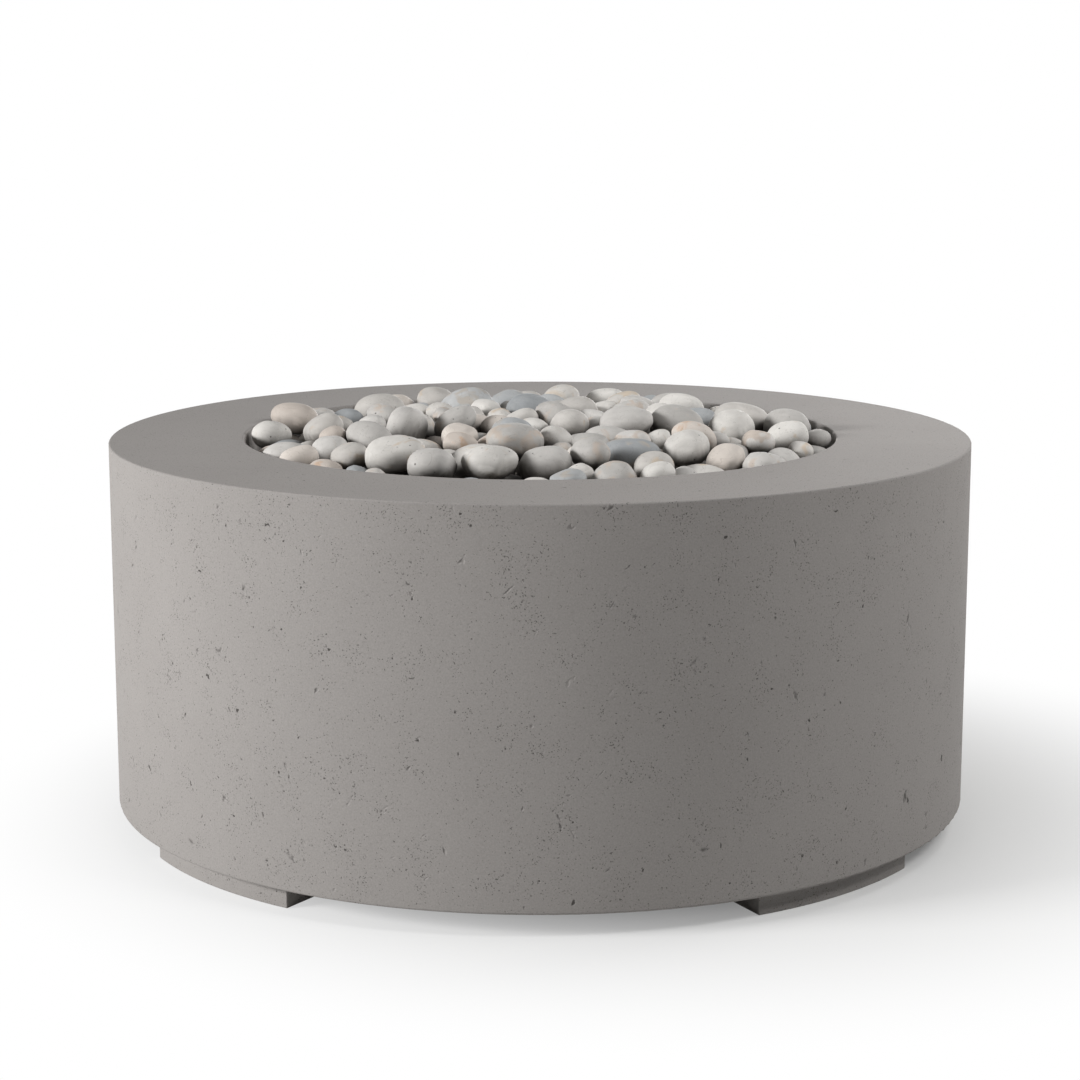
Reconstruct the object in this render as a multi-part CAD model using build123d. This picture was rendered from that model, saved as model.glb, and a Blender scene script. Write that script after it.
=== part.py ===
from build123d import *
import os
from dataclasses import dataclass, replace
from math import pi, radians, sqrt, tan
import numpy as np

# A round gas fire bowl: a cast concrete drum on four arc feet, with a steel pan let into its top,
# a ring burner with its gas fittings, and a heap of river stones. Millimetres, with the floor at
# z = 0, +Z up, the drum's axis on Z and the front towards -Y.

# Concrete drum
drum_diameter = 1067.0
drum_height = 450.0
drum_wall = 46.0
core_draft = 0.7
rim_thickness = 50.0
rim_width = 165.0
recess_depth = 54.0
ledge_width = 38.0
ledge_thickness = 36.0
collar_wall = 32.0
rim_arris = 2.0
opening_arris = 3.0
base_arris = 3.0
ledge_fillet = 3.0
core_fillet = 12.0

# Concrete feet, one to each quarter
foot_height = 27.3
foot_inset = 18.8
foot_width = 62.0
foot_span = 28.4
foot_arris = 1.5
first_foot_angle = 45.0

# Foot screws and the sleeves cast into the drum's lower edge
screw_diameter = 8.0
screw_length = 50.0
screw_head_diameter = 16.0
screw_head_recess = 1.5
screw_head_land = 0.5
screw_seat_clearance = 0.05
screw_hole_clearance = 0.5
screw_key = 5.0
screw_key_depth = 2.6
screw_half_spread = 8.5
sleeve_diameter = 14.0
sleeve_length = 35.0
sleeve_clearance = 0.05
thread_clearance = 0.1

# Burner pan
pan_sheet = 2.0
pan_gap = 3.0
pan_lip_height = 12.0
pan_bend = 3.0
weep_hole_diameter = 8.0
weep_hole_inset = 85.5
weep_hole_count = 8

# Ring burner
burner_tube = 16.0
burner_tube_wall = 1.5
feed_tube = 13.0
ring_inset = 150.5
inner_ring_share = 0.5
burner_lift = 6.0
hub_diameter = 42.0
hub_crown = 4.0
port_diameter = 3.0
port_pitch = 28.0
saddle_length = 20.0
saddle_width = 12.0
saddle_wrap = 4.5
saddle_screw_diameter = 5.0
saddle_screw_head = 9.5
saddle_screw_head_height = 3.0
saddle_screw_crown = 1.5
saddle_screw_depth = 5.0

# Pipe fittings on the drum's axis, named from the pan down
pipe_diameter = 21.3
pipe_bore = 15.8
pipe_engagement = 14.0
pan_hole_clearance = 1.0
burner_nipple_length = 62.0
lock_nut_flats = 32.0
lock_nut_thickness = 9.0
mixer_flats = 30.0
mixer_length = 60.0
air_hole_diameter = 10.0
air_hole_count = 4
injector_length = 14.0
injector_orifice = 2.4
injector_nose = 3.5
spigot_bore = 12.0
tail_diameter = 30.0
tail_length = 24.0
tail_collar_diameter = 36.0
tail_collar_thickness = 5.0
union_thread_diameter = 38.0
union_thread_length = 16.0
union_seat_length = 28.0
union_nut_flats = 48.0
union_nut_top = 4.0
union_nut_length = 21.0
union_clearance = 0.3
nut_face_inset = 0.4
nut_corner_angle = 30.0
inlet_hex_flats = 27.0
inlet_hex_length = 8.0
inlet_free_length = 24.0

# Quarter-turn shut-off valve
valve_ball_diameter = 24.0
valve_body_diameter = 37.0
valve_body_above_ball = 30.0
valve_body_below_ball = 26.0
valve_chamber_diameter = 28.4
seat_reach = 14.0
seat_near_face = 6.5
seat_clearance = 0.1
adapter_flats = 34.0
adapter_hex_length = 16.0
bonnet_diameter = 22.0
bonnet_reach = 28.0
stem_diameter = 10.0
stem_clearance = 0.05
stem_tongue_length = 8.0
stem_tongue_width = 4.0
stem_tongue_depth = 4.0
packing_nut_flats = 20.0
packing_nut_thickness = 7.0
moving_clearance = 0.4
lever_thickness = 3.0
lever_width = 14.0
lever_length = 110.0
lever_eye_diameter = 26.0
lever_nut_flats = 13.0
lever_nut_thickness = 5.0
stem_thread_diameter = 7.0
stem_end = 1.5
grip_wall = 1.6
grip_length = 66.0

# Heap of stones
stone_seed = 11
stone_gap = 0.5
stone_length = 62.0
small_stone_length = 40.0
stone_length_spread = 0.26
stone_width_share = 0.79
stone_thickness_share = 0.63
stone_share_spread = 0.1
stone_blunt_share = 0.84
heap_edge = 14.0
heap_crown = 34.0
stone_proud = 8.0
small_stone_proud = -4.0
stone_tilt = 16.0
upright_share = 0.1
tint_shares = {"cream": 5, "pale_grey": 4, "blue_grey": 2, "tan": 2}

# Heights and radii that the pieces share
drum_radius = drum_diameter / 2
drum_base = foot_height
rim_top = drum_base + drum_height
opening_radius = drum_radius - rim_width
ledge_top = rim_top - recess_depth
foot_outer_radius = drum_radius - foot_inset
foot_inner_radius = foot_outer_radius - foot_width
wall_inner_radius = drum_radius - drum_wall
screw_circle_radius = (wall_inner_radius + foot_outer_radius) / 2
foot_angles = [first_foot_angle + 90.0 * quarter for quarter in range(4)]
screw_angles = [foot + side * screw_half_spread for foot in foot_angles for side in (-1, 1)]
pan_top = ledge_top + pan_sheet
pan_radius = opening_radius - pan_gap
lip_inner_radius = pan_radius - pan_sheet
lip_top = ledge_top + pan_lip_height
tube_radius = burner_tube / 2
tube_bore_radius = tube_radius - burner_tube_wall
feed_radius = feed_tube / 2
feed_bore_radius = feed_radius - burner_tube_wall
burner_axis_height = pan_top + burner_lift + tube_radius
hub_radius = hub_diameter / 2
hub_top = burner_axis_height + tube_radius + hub_crown
outer_ring_radius = pan_radius - ring_inset
inner_ring_radius = outer_ring_radius * inner_ring_share
weep_circle_radius = pan_radius - weep_hole_inset
saddle_angles = foot_angles
pipe_radius = pipe_diameter / 2
socket_radius = pipe_radius + thread_clearance
pipe_bore_radius = pipe_bore / 2
nipple_low = pan_top + pipe_engagement - burner_nipple_length
mixer_top = nipple_low + pipe_engagement
mixer_low = mixer_top - mixer_length
tail_low = mixer_low - tail_length
union_seat_low = tail_low - union_seat_length
ball_height = union_seat_low - valve_body_above_ball
valve_body_low = ball_height - valve_body_below_ball
adapter_low = valve_body_low - adapter_hex_length
inlet_low = adapter_low - inlet_hex_length - inlet_free_length
ball_radius = valve_ball_diameter / 2
packing_nut_face = bonnet_reach + packing_nut_thickness
lever_face = packing_nut_face + moving_clearance
lever_far = lever_face + lever_thickness
stem_far = lever_far + lever_nut_thickness + stem_end


def at_height(low, shape):
    """Lifts a shape so that its own base plane lies at a height."""
    return Pos(0, 0, low) * shape


def rod(radius, length):
    """A round bar that stands on its base plane."""
    return Cylinder(radius, length, align=(Align.CENTER, Align.CENTER, Align.MIN))


def pipe(outer_radius, inner_radius, length):
    """A round tube that stands on its base plane."""
    return rod(outer_radius, length) - rod(inner_radius, length)


def right_cone(low_radius, high_radius):
    """A cone with sides at 45 degrees that stands on its base plane."""
    height = low_radius - high_radius
    return Cone(low_radius, high_radius, height, align=(Align.CENTER, Align.CENTER, Align.MIN))


def hexagon(flats, length):
    """A hexagonal bar that stands on its base plane."""
    return extrude(RegularPolygon(flats / 2, 6, major_radius=False), length)


def nut(flats, length):
    """A hexagonal bar with its corners turned down at both ends, as on a nut."""
    face_radius = flats / 2 - nut_face_inset
    corner_radius = flats / sqrt(3)
    slope = (corner_radius - face_radius) * tan(radians(nut_corner_angle))
    outline = Polyline(
        (0, 0),
        (face_radius, 0),
        (corner_radius, slope),
        (corner_radius, length - slope),
        (face_radius, length),
        (0, length),
        close=True,
    )
    blank = revolve(Plane.XZ * make_face(outline), Axis.Z)
    return hexagon(flats, length) & blank


def turned(points, radii):
    """Turns a closed outline of radius and height pairs about Z, with a rounding at each corner."""
    outline = FilletPolyline(*points, radius=radii, close=True)
    return revolve(Plane.XZ * make_face(outline.edges()), Axis.Z)


def around(angles, shape):
    """Copies of a shape turned about Z to each of the angles."""
    return [Rot(0, 0, angle) * shape for angle in angles]


def facing_front(shape):
    """Lays a shape that stands on Z along -Y, at the height of the valve's ball."""
    return Pos(0, 0, ball_height) * Rot(90, 0, 0) * shape


def save(node, *shapes):
    """Writes the solids of one node."""
    solids = [solid for shape in shapes for solid in shape.solids()]
    export_step(Compound(children=solids), f"parts/{node}.step")


# Drum and feet


def concrete_drum():
    """The cast drum: wall, rim, and a collar with the ledge that carries the pan, open below."""
    rim_under = rim_top - rim_thickness
    wall_top_radius = wall_inner_radius - (rim_under - drum_base) * tan(radians(core_draft))
    ledge_radius = opening_radius - ledge_width
    ledge_low = ledge_top - ledge_thickness
    collar_radius = opening_radius + collar_wall
    corners = [
        ((drum_radius, drum_base), base_arris),
        ((drum_radius, rim_top), rim_arris),
        ((opening_radius, rim_top), opening_arris),
        ((opening_radius, ledge_top), ledge_fillet),
        ((ledge_radius, ledge_top), ledge_fillet),
        ((ledge_radius, ledge_low), ledge_fillet),
        ((collar_radius, ledge_low), core_fillet),
        ((collar_radius, rim_under), core_fillet),
        ((wall_top_radius, rim_under), core_fillet),
        ((wall_inner_radius, drum_base), base_arris),
    ]
    casting = turned([point for point, _ in corners], [radius for _, radius in corners])
    sleeve_pocket = rod(sleeve_diameter / 2 + sleeve_clearance, sleeve_length)
    pocket = Pos(screw_circle_radius, 0, drum_base) * sleeve_pocket
    return casting - around(screw_angles, pocket)


def concrete_foot():
    """One arc foot about +X, with two countersunk screw holes."""
    outer = CenterArc((0, 0), foot_outer_radius, -foot_span / 2, foot_span)
    inner = CenterArc((0, 0), foot_inner_radius, -foot_span / 2, foot_span)
    ends = [Line(inner @ end, outer @ end) for end in (0, 1)]
    block = extrude(make_face([outer, inner, *ends]), foot_height)
    top_edges = block.edges().group_by(Axis.Z)[-1]
    block = fillet(block.edges() - top_edges, foot_arris)
    hole = Pos(screw_circle_radius, 0, 0) * foot_screw_hole()
    return block - around((-screw_half_spread, screw_half_spread), hole)


def foot_screw():
    """A countersunk screw standing on its head, with a hexagon recess for its key."""
    shank_radius = screw_diameter / 2
    head_radius = screw_head_diameter / 2
    screw = at_height(screw_head_recess, rod(shank_radius, screw_length))
    screw += at_height(screw_head_recess, rod(head_radius, screw_head_land))
    screw += at_height(screw_head_recess + screw_head_land, right_cone(head_radius, shank_radius))
    return screw - at_height(screw_head_recess, hexagon(screw_key, screw_key_depth))


def foot_screw_hole():
    """The hole through a foot: the screw's cone seats in it and its shank clears it."""
    shank_radius = screw_diameter / 2 + screw_hole_clearance
    mouth_radius = screw_head_diameter / 2 + screw_hole_clearance
    cone_low = screw_head_recess + screw_head_land + screw_seat_clearance - screw_hole_clearance
    hole = rod(shank_radius, foot_height) + rod(mouth_radius, cone_low)
    return hole + at_height(cone_low, right_cone(mouth_radius, shank_radius))


def threaded_sleeve():
    """The sleeve that takes a foot screw, cast into the drum's lower edge."""
    bore_radius = screw_diameter / 2 + thread_clearance
    return at_height(drum_base, pipe(sleeve_diameter / 2, bore_radius, sleeve_length))


# Pan and burner


def burner_pan():
    """The flat steel pan with its upturned lip, pipe hole, weep holes and screw holes."""
    hole_radius = pipe_radius + pan_hole_clearance
    corners = [
        ((hole_radius, ledge_top), 0),
        ((pan_radius, ledge_top), pan_bend + pan_sheet),
        ((pan_radius, lip_top), 0),
        ((lip_inner_radius, lip_top), 0),
        ((lip_inner_radius, pan_top), pan_bend),
        ((hole_radius, pan_top), 0),
    ]
    pan = turned([point for point, _ in corners], [radius for _, radius in corners])
    weep = Pos(weep_circle_radius, 0, ledge_top) * rod(weep_hole_diameter / 2, pan_sheet)
    screw_hole_radius = saddle_screw_diameter / 2 + screw_hole_clearance
    screw_hole = Pos(outer_ring_radius, 0, ledge_top) * rod(screw_hole_radius, pan_sheet)
    weep_angles = [360.0 / weep_hole_count * (step + 0.5) for step in range(weep_hole_count)]
    return pan - around(weep_angles, weep) - around(saddle_angles, screw_hole)


def feed_bar(radius):
    """A bar along X through the hub to the middles of the outer ring's tube on both sides."""
    return at_height(burner_axis_height, Rot(0, 90, 0) * Cylinder(radius, 2 * outer_ring_radius))


def burner_ring(ring_radius):
    """Two bent half rings of tube that meet at the feed tubes, drilled along their tops."""
    section = Pos(ring_radius, burner_axis_height) * (Circle(tube_radius) - Circle(tube_bore_radius))
    half = revolve(Plane.XZ * section, Axis.Z, 180)
    port_count = round(pi * ring_radius / port_pitch)
    port_angles = [180.0 / port_count * (step + 0.5) for step in range(port_count)]
    port = Pos(ring_radius, 0, burner_axis_height) * rod(port_diameter / 2, burner_tube)
    half = half - around(port_angles, port) - feed_bar(feed_bore_radius)
    return around((0, 180), half)


def burner_cross_tubes():
    """The four feed tubes on the X axis, coped to the hub and to both rings."""
    bar = feed_bar(feed_radius) - feed_bar(feed_bore_radius)
    hub = at_height(pan_top, rod(hub_radius, hub_top - pan_top))
    inner_ring = at_height(burner_axis_height, Torus(inner_ring_radius, tube_radius))
    outer_ring = at_height(burner_axis_height, Torus(outer_ring_radius, tube_radius))
    return (bar - hub - inner_ring - outer_ring).solids()


def burner_hub():
    """The hub that stands on the pan, tapped for the pipe from below and open to the feed tubes."""
    hub = at_height(pan_top, rod(hub_radius, hub_top - pan_top))
    hub = fillet(hub.edges().group_by(Axis.Z)[-1], hub_crown)
    chamber_top = burner_axis_height + feed_bore_radius
    hub -= at_height(pan_top, rod(socket_radius, pipe_engagement))
    hub -= at_height(pan_top, rod(pipe_bore_radius, chamber_top - pan_top))
    return hub - feed_bar(feed_bore_radius)


def burner_saddle():
    """A block under the outer ring on +X, hollowed to the tube and drilled for its screw."""
    height = burner_lift + saddle_wrap
    block = extrude(Rectangle(saddle_width, saddle_length), height)
    block = Pos(outer_ring_radius, 0, pan_top) * block
    block -= at_height(burner_axis_height, Torus(outer_ring_radius, tube_radius))
    drill = rod(saddle_screw_diameter / 2 + thread_clearance, saddle_screw_depth)
    return block - Pos(outer_ring_radius, 0, pan_top) * drill


def saddle_screw():
    """A round-headed screw from under the pan into a saddle on +X."""
    head = at_height(-saddle_screw_head_height, rod(saddle_screw_head / 2, saddle_screw_head_height))
    head = fillet(head.edges().group_by(Axis.Z)[0], saddle_screw_crown)
    shank = rod(saddle_screw_diameter / 2, pan_sheet + saddle_screw_depth - thread_clearance)
    return Pos(outer_ring_radius, 0, ledge_top) * (head + shank)


# Pipe fittings under the pan


def pan_lock_nut():
    """The nut on the pipe that clamps the pan against the hub."""
    blank = nut(lock_nut_flats, lock_nut_thickness) - rod(socket_radius, lock_nut_thickness)
    return at_height(ledge_top - lock_nut_thickness, blank)


def air_mixer():
    """The fitting that lets air in round the injector, with a spigot below."""
    body = at_height(mixer_low, nut(mixer_flats, mixer_length))
    spigot_low = mixer_low - pipe_engagement + union_clearance
    body += at_height(spigot_low, rod(pipe_radius, mixer_low - spigot_low))
    body -= at_height(nipple_low, rod(socket_radius, pipe_engagement))
    body -= at_height(mixer_low, rod(pipe_bore_radius, nipple_low - mixer_low))
    body -= at_height(spigot_low, rod(spigot_bore / 2, mixer_low - spigot_low))
    hole_height = (mixer_low + injector_length + nipple_low) / 2
    drill = Rot(0, 90, 0) * rod(air_hole_diameter / 2, mixer_flats)
    spread = 360.0 / air_hole_count
    return body - around([spread * step for step in range(air_hole_count)], at_height(hole_height, drill))


def gas_injector():
    """The brass jet that stands on the step at the foot of the mixer."""
    plug = rod(pipe_bore_radius - thread_clearance, injector_length)
    plug = chamfer(plug.edges().group_by(Axis.Z)[-1], injector_nose)
    return at_height(mixer_low, plug - rod(injector_orifice / 2, injector_length))


def union_tail():
    """The upper half of the union, with the collar that its nut draws down."""
    tail = at_height(tail_low, rod(tail_diameter / 2, tail_length))
    tail += at_height(tail_low, rod(tail_collar_diameter / 2, tail_collar_thickness))
    tail -= at_height(mixer_low - pipe_engagement, rod(socket_radius, pipe_engagement))
    return tail - at_height(tail_low, rod(pipe_bore_radius, tail_length))


def union_seat():
    """The lower half of the union: a thread for the nut above a body for the spanner."""
    thread_low = tail_low - union_thread_length
    seat = at_height(thread_low, rod(union_thread_diameter / 2, union_thread_length))
    seat += at_height(union_seat_low, nut(adapter_flats, thread_low - union_seat_low))
    seat -= at_height(union_seat_low, rod(socket_radius, pipe_engagement))
    return seat - at_height(union_seat_low, rod(pipe_bore_radius, union_seat_length))


def union_nut():
    """The nut that bears on the tail's collar and runs on the seat's thread."""
    bearing = tail_low + tail_collar_thickness
    low = bearing + union_nut_top - union_nut_length
    blank = at_height(low, nut(union_nut_flats, union_nut_length))
    blank -= at_height(low, rod(tail_diameter / 2 + union_clearance, union_nut_length))
    return blank - at_height(low, rod(union_thread_diameter / 2 + thread_clearance, bearing - low))


# Shut-off valve


def valve_body():
    """The body with its spigot, ball chamber and the bonnet that guides the stem."""
    body = at_height(valve_body_low, rod(valve_body_diameter / 2, union_seat_low - valve_body_low))
    spigot_length = pipe_engagement - union_clearance
    body += at_height(union_seat_low, rod(pipe_radius, spigot_length))
    body += facing_front(rod(bonnet_diameter / 2, bonnet_reach))
    chamber_length = ball_height + seat_reach - valve_body_low
    body -= at_height(valve_body_low, rod(valve_chamber_diameter / 2, chamber_length))
    body -= at_height(ball_height, rod(pipe_bore_radius, valve_body_above_ball + spigot_length))
    return body - facing_front(rod(stem_diameter / 2 + stem_clearance, bonnet_reach))


def valve_seats():
    """The two seat rings, hollowed to the ball."""
    ring_radius = valve_chamber_diameter / 2 - seat_clearance
    ring = pipe(ring_radius, pipe_bore_radius, seat_reach - seat_near_face)
    ring = Pos(0, 0, seat_near_face) * ring - Sphere(ball_radius + seat_clearance)
    return [at_height(ball_height, ring), at_height(ball_height, Rot(180, 0, 0) * ring)]


def valve_adapter():
    """The threaded end that holds the seats in and takes the inlet pipe."""
    plug_top = ball_height - seat_reach
    plug_radius = valve_chamber_diameter / 2 - seat_clearance
    adapter = at_height(valve_body_low, rod(plug_radius, plug_top - valve_body_low))
    adapter += at_height(adapter_low, nut(adapter_flats, adapter_hex_length))
    adapter -= at_height(adapter_low, rod(socket_radius, pipe_engagement))
    return adapter - at_height(adapter_low, rod(pipe_bore_radius, plug_top - adapter_low))


def inlet_nipple():
    """The nipple below the valve, with a hexagon and the free end that the gas supply screws on to."""
    inlet_top = adapter_low + pipe_engagement - union_clearance
    nipple = at_height(inlet_low, rod(pipe_radius, inlet_top - inlet_low))
    nipple += at_height(adapter_low - inlet_hex_length, nut(inlet_hex_flats, inlet_hex_length))
    return nipple - at_height(inlet_low, rod(pipe_bore_radius, inlet_top - inlet_low))


def tongue(growth):
    """The flat tongue that the stem turns the ball by, grown on every side for its slot."""
    depth = stem_tongue_depth + growth
    outline = Rectangle(stem_tongue_length + 2 * growth, stem_tongue_width + 2 * growth)
    return facing_front(Pos(0, 0, ball_radius - depth) * extrude(outline, depth + ball_radius))


def valve_ball():
    """The ball, bored across the flow when shut, with the slot for the stem's tongue."""
    ball = Sphere(ball_radius) - Rot(0, 90, 0) * Cylinder(pipe_bore_radius, valve_ball_diameter)
    return at_height(ball_height, ball) - tongue(stem_clearance)


def valve_stem():
    """The stem from its tongue in the ball to the thread that holds the lever."""
    shoulder = ball_radius + moving_clearance
    stem = facing_front(Pos(0, 0, shoulder) * rod(stem_diameter / 2, lever_far - shoulder))
    stem += facing_front(Pos(0, 0, lever_far) * rod(stem_thread_diameter / 2, stem_far - lever_far))
    blade = tongue(0.0)
    return stem + (blade & facing_front(rod(stem_diameter / 2, lever_face)))


def packing_nut():
    """The nut on the bonnet's end that closes the stem's packing."""
    blank = nut(packing_nut_flats, packing_nut_thickness)
    blank -= rod(stem_diameter / 2 + stem_clearance, packing_nut_thickness)
    return facing_front(Pos(0, 0, bonnet_reach) * blank)


def lever_bar(growth, start, length):
    """The lever's flat bar along +X from a distance off the stem, grown on every side."""
    bar = SlotOverall(length, lever_width + 2 * growth, align=(Align.MIN, Align.CENTER))
    thick = extrude(bar, lever_thickness + 2 * growth)
    return facing_front(Pos(start, 0, lever_face - growth) * thick)


def valve_lever():
    """The flat lever, square to the pipe when the valve is shut."""
    eye = facing_front(Pos(0, 0, lever_face) * rod(lever_eye_diameter / 2, lever_thickness))
    lever = eye + lever_bar(0.0, 0.0, lever_length)
    hole = rod(stem_diameter / 2 + stem_clearance, lever_thickness)
    return lever - facing_front(Pos(0, 0, lever_face) * hole)


def lever_grip():
    """The dipped sleeve over the lever's outer end."""
    sleeve = lever_bar(grip_wall, lever_length - grip_length, grip_length + grip_wall)
    return sleeve - lever_bar(thread_clearance, 0.0, lever_length + thread_clearance)


def lever_nut():
    """The nut that holds the lever on the stem."""
    blank = nut(lever_nut_flats, lever_nut_thickness)
    blank -= rod(stem_thread_diameter / 2 + thread_clearance, lever_nut_thickness)
    return facing_front(Pos(0, 0, lever_far) * blank)


# Heap of river stones


@dataclass
class Stone:
    """An egg: two half ellipsoids of unequal length that share a width and a thickness."""

    nose: float
    tail: float
    half_width: float
    half_thickness: float
    axes: np.ndarray
    centre: np.ndarray

    def surface(self, directions):
        """Points of the surface about the centre, one for each unit direction of the stone's own axes."""
        sizes = np.empty_like(directions)
        sizes[:, 0] = np.where(directions[:, 0] > 0, self.nose, self.tail)
        sizes[:, 1] = self.half_width
        sizes[:, 2] = self.half_thickness
        return (directions * sizes) @ self.axes.T

    def quadrics(self):
        """The two halves' ellipsoids, nose first, as matrices about the centre."""
        halves = []
        for length in (self.nose, self.tail):
            inverse = 1 / np.array([length, self.half_width, self.half_thickness]) ** 2
            halves.append(self.axes @ np.diag(inverse) @ self.axes.T)
        return np.array(halves)

    def reach(self):
        """The largest distance from the centre to the surface."""
        return max(self.nose, self.tail)

    def solid(self):
        """The egg's half outline turned about its length, then pressed to its thickness and laid in place."""
        nose_arc = EllipticalCenterArc((0, 0), self.nose, self.half_width, 0, arc_size=90)
        tail_arc = EllipticalCenterArc((0, 0), self.tail, self.half_width, 90, arc_size=90)
        half = make_face([nose_arc, tail_arc, Line((-self.tail, 0), (self.nose, 0))])
        egg = revolve(half, Axis.X).solid().scale((1, 1, self.half_thickness / self.half_width))
        length_axis, _, thickness_axis = self.axes.T
        place = Plane(origin=tuple(self.centre), x_dir=tuple(length_axis), z_dir=tuple(thickness_axis))
        return place.location * egg


class Heap:
    """Stones let down one by one onto the pan, the burner and the stones already there."""

    map_step = 4.0
    coarse_points = 90
    fine_points = 420
    final_points = 2400
    trial_places = 140
    trial_nudges = 42
    nudge_sizes = (9.0, 9.0, 14.0, 7.0, 7.0)
    misses_allowed = 14

    def __init__(self, seed):
        """An empty heap with its own stream of random numbers and a map of the height to land on."""
        self.random = np.random.default_rng(seed)
        self.stones = []
        self.half_cells = int(opening_radius / self.map_step) + 1
        line = np.arange(-self.half_cells, self.half_cells + 1) * self.map_step
        self.map_x, self.map_y = np.meshgrid(line, line, indexing="ij")
        self.map = self.floor(self.map_x, self.map_y)

    @staticmethod
    def floor(x, y):
        """Height of the pan, its lip, the hub, the rings or the feed tubes above each point of the plan."""
        radius = np.hypot(x, y)
        into_bend = np.clip(radius - lip_inner_radius + pan_bend, 0, pan_bend)
        height = pan_top + pan_bend - np.sqrt(pan_bend**2 - into_bend**2)
        height = np.where(radius > lip_inner_radius, lip_top, height)
        height = np.where(radius < hub_radius, hub_top, height)
        bars = [(tube_radius, radius - inner_ring_radius), (tube_radius, radius - outer_ring_radius)]
        bars.append((feed_radius, np.where(radius < outer_ring_radius, y, opening_radius)))
        for bar_radius, offset in bars:
            rise = np.sqrt(np.maximum(bar_radius**2 - offset**2, 0))
            height = np.where(rise > 0, np.maximum(height, burner_axis_height + rise), height)
        return height

    @staticmethod
    def directions(count):
        """Evenly spread unit directions, by the golden angle."""
        step = np.arange(count) + 0.5
        z = 1 - 2 * step / count
        turn = step * pi * (3 - 5**0.5)
        flat = np.sqrt(1 - z**2)
        return np.stack([flat * np.cos(turn), flat * np.sin(turn), z], axis=1)

    @staticmethod
    def surface_level(x, y):
        """The height that the tops of the finished heap keep to: highest in the middle."""
        share = (x**2 + y**2) / opening_radius**2
        return rim_top + heap_edge + (heap_crown - heap_edge) * (1 - share)

    def tops(self, stones, x, y):
        """Height of the highest of some stones above each point of the plan, or of the floor."""
        height = self.floor(x, y)
        for stone in stones:
            dx = x - stone.centre[0]
            dy = y - stone.centre[1]
            for half, quadric in zip((1, -1), stone.quadrics()):
                slope = quadric[0, 2] * dx + quadric[1, 2] * dy
                rest = quadric[0, 0] * dx**2 + quadric[1, 1] * dy**2
                rest += 2 * quadric[0, 1] * dx * dy - 1
                inside = slope**2 - quadric[2, 2] * rest
                dz = (np.sqrt(np.maximum(inside, 0)) - slope) / quadric[2, 2]
                along = stone.axes[0, 0] * dx + stone.axes[1, 0] * dy + stone.axes[2, 0] * dz
                hit = (inside > 0) & (half * along >= 0)
                height = np.where(hit, np.maximum(height, stone.centre[2] + dz), height)
        return height

    def neighbours(self, x, y, reach):
        """The stones near enough in plan to touch one of a given reach."""
        return [s for s in self.stones if np.hypot(s.centre[0] - x, s.centre[1] - y) < s.reach() + reach]

    def rest_height(self, stone, count, x, y):
        """Height of a stone's centre where it first touches as it comes straight down."""
        points = stone.surface(self.directions(count))
        under = self.tops(self.neighbours(x, y, stone.reach()), points[:, 0] + x, points[:, 1] + y)
        return (under - points[:, 2]).max() + stone_gap

    def clears_wall(self, stone, x, y):
        """Whether a stone at a place in plan stays inside the opening's wall."""
        points = stone.surface(self.directions(self.fine_points))
        return np.hypot(points[:, 0] + x, points[:, 1] + y).max() < opening_radius - 2 * stone_gap

    def spread(self, share):
        """A random factor within a share of one."""
        return 1 + share * (2 * self.random.random() - 1)

    def random_stone(self, length):
        """A stone of about a length, lying flat or, now and then, on edge, in a random direction."""
        half_length = length / 2 * self.spread(stone_length_spread)
        half_width = half_length * stone_width_share * self.spread(stone_share_spread)
        half_thickness = half_length * stone_thickness_share * self.spread(stone_share_spread)
        nose = half_length * self.spread(1 - stone_blunt_share)
        tail = 2 * half_length - nose
        turn, lean, roll = (2 * self.random.random(3) - 1) * (180, stone_tilt, stone_tilt)
        if self.random.random() < upright_share:
            roll += 90
        axes = self.turned_axes(turn, lean, roll)
        return Stone(nose, tail, half_width, half_thickness, axes, np.zeros(3))

    @staticmethod
    def turned_axes(turn, lean, roll):
        """Axes of a stone rolled about its length, leant nose up and turned in plan, in degrees."""
        c1, c2, c3 = np.cos(np.radians([turn, lean, roll]))
        s1, s2, s3 = np.sin(np.radians([turn, lean, roll]))
        about_z = np.array([[c1, -s1, 0], [s1, c1, 0], [0, 0, 1]])
        about_y = np.array([[c2, 0, -s2], [0, 1, 0], [s2, 0, c2]])
        about_x = np.array([[1, 0, 0], [0, c3, -s3], [0, s3, c3]])
        return about_z @ about_y @ about_x

    def lowest_place(self, stone):
        """The best of many random places for a stone, judged on the height map."""
        room = opening_radius - stone_gap - stone.half_thickness
        radius = room * np.sqrt(self.random.random(self.trial_places))
        angle = 2 * pi * self.random.random(self.trial_places)
        x = radius * np.cos(angle)
        y = radius * np.sin(angle)
        points = stone.surface(self.directions(self.coarse_points))
        plan_x = x[:, None] + points[:, 0]
        plan_y = y[:, None] + points[:, 1]
        column = np.clip(np.rint(plan_x / self.map_step).astype(int) + self.half_cells, 0, 2 * self.half_cells)
        row = np.clip(np.rint(plan_y / self.map_step).astype(int) + self.half_cells, 0, 2 * self.half_cells)
        height = (self.map[column, row] - points[:, 2]).max(axis=1) - self.surface_level(x, y)
        height[np.hypot(plan_x, plan_y).max(axis=1) > opening_radius - stone_gap] = np.inf
        best = int(np.argmin(height))
        return x[best], y[best]

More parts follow.
